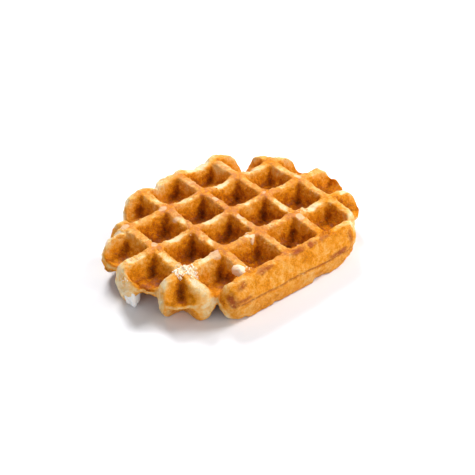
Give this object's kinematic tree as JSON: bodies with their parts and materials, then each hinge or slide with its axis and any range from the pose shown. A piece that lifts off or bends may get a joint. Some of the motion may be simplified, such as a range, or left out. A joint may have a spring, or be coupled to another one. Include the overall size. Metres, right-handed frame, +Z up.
{
  "type": "belgian waffle",
  "caption": "Oval Belgian waffle with deep square pockets on both faces, a puffy lobed edge and one straight flank.",
  "frame": {"origin": "centre of the base, on the surface that the waffle lies on", "axes": "+X along the long axis of the oval, +Y towards the puffy back edge, away from the straight flank, +Z up"},
  "size_m": [0.1176, 0.0871, 0.02],
  "materials": {
    "baked_crust": "golden brown baked crust, pale where the dough did not touch the iron, slightly glossy with caramelised sugar"
  },
  "bodies": {
    "root": {"waffle": "baked_crust"}
  },
  "joints": []
}
